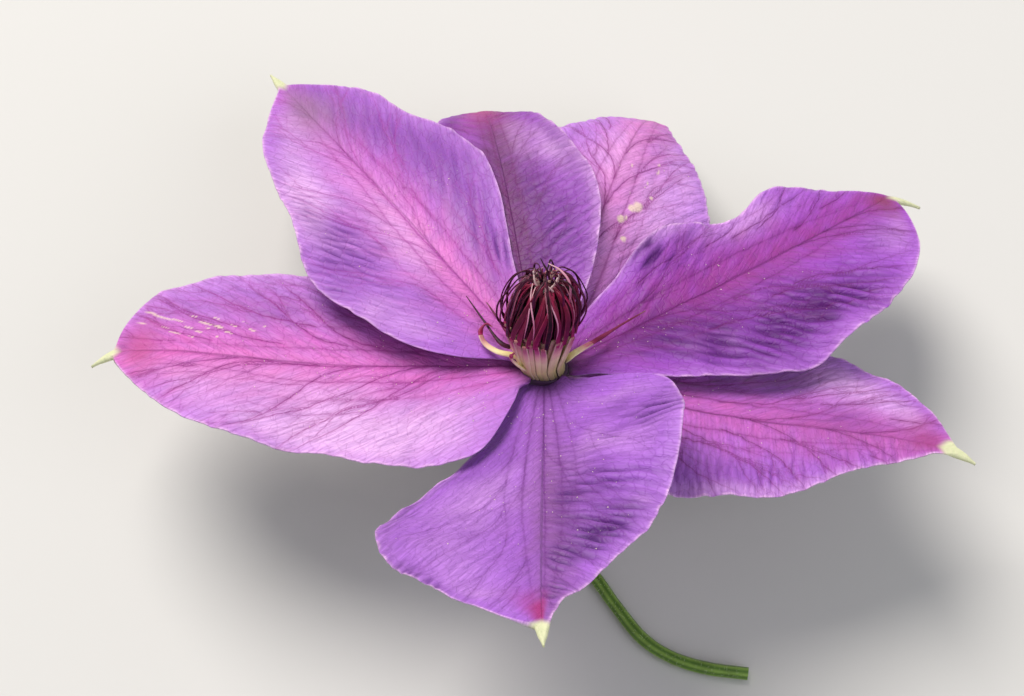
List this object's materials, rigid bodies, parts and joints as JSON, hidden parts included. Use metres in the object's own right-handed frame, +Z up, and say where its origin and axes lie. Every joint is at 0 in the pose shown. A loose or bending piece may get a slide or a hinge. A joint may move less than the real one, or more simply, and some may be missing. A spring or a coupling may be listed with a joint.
{
  "type": "clematis flower",
  "caption": "Picked large-flowered clematis bloom: broad pointed tepals round a boss of stamens, on a short curved stalk, lying on a surface.",
  "frame": {"origin": "middle of the box round the part, on the surface that it lies on", "axes": "+Z up from the surface, -Y towards the front tepal, +X to the right of it seen from the face; the flower's own axis leans back 22 degrees from +Z towards +Y"},
  "size_m": [0.1492, 0.1332, 0.0702],
  "materials": {
    "tepal": "satin",
    "stalk": "satin",
    "filament": "satin",
    "anther": "satin",
    "pistil": "satin"
  },
  "bodies": {
    "root": {"tepal_front": "tepal", "tepal_right": "tepal", "tepal_upper_right": "tepal", "tepal_back_right": "tepal", "tepal_back": "tepal", "tepal_upper_left": "tepal", "tepal_left": "tepal", "stem": "stalk", "filaments": "filament", "anthers": "anther", "pistils": "pistil"}
  },
  "joints": []
}
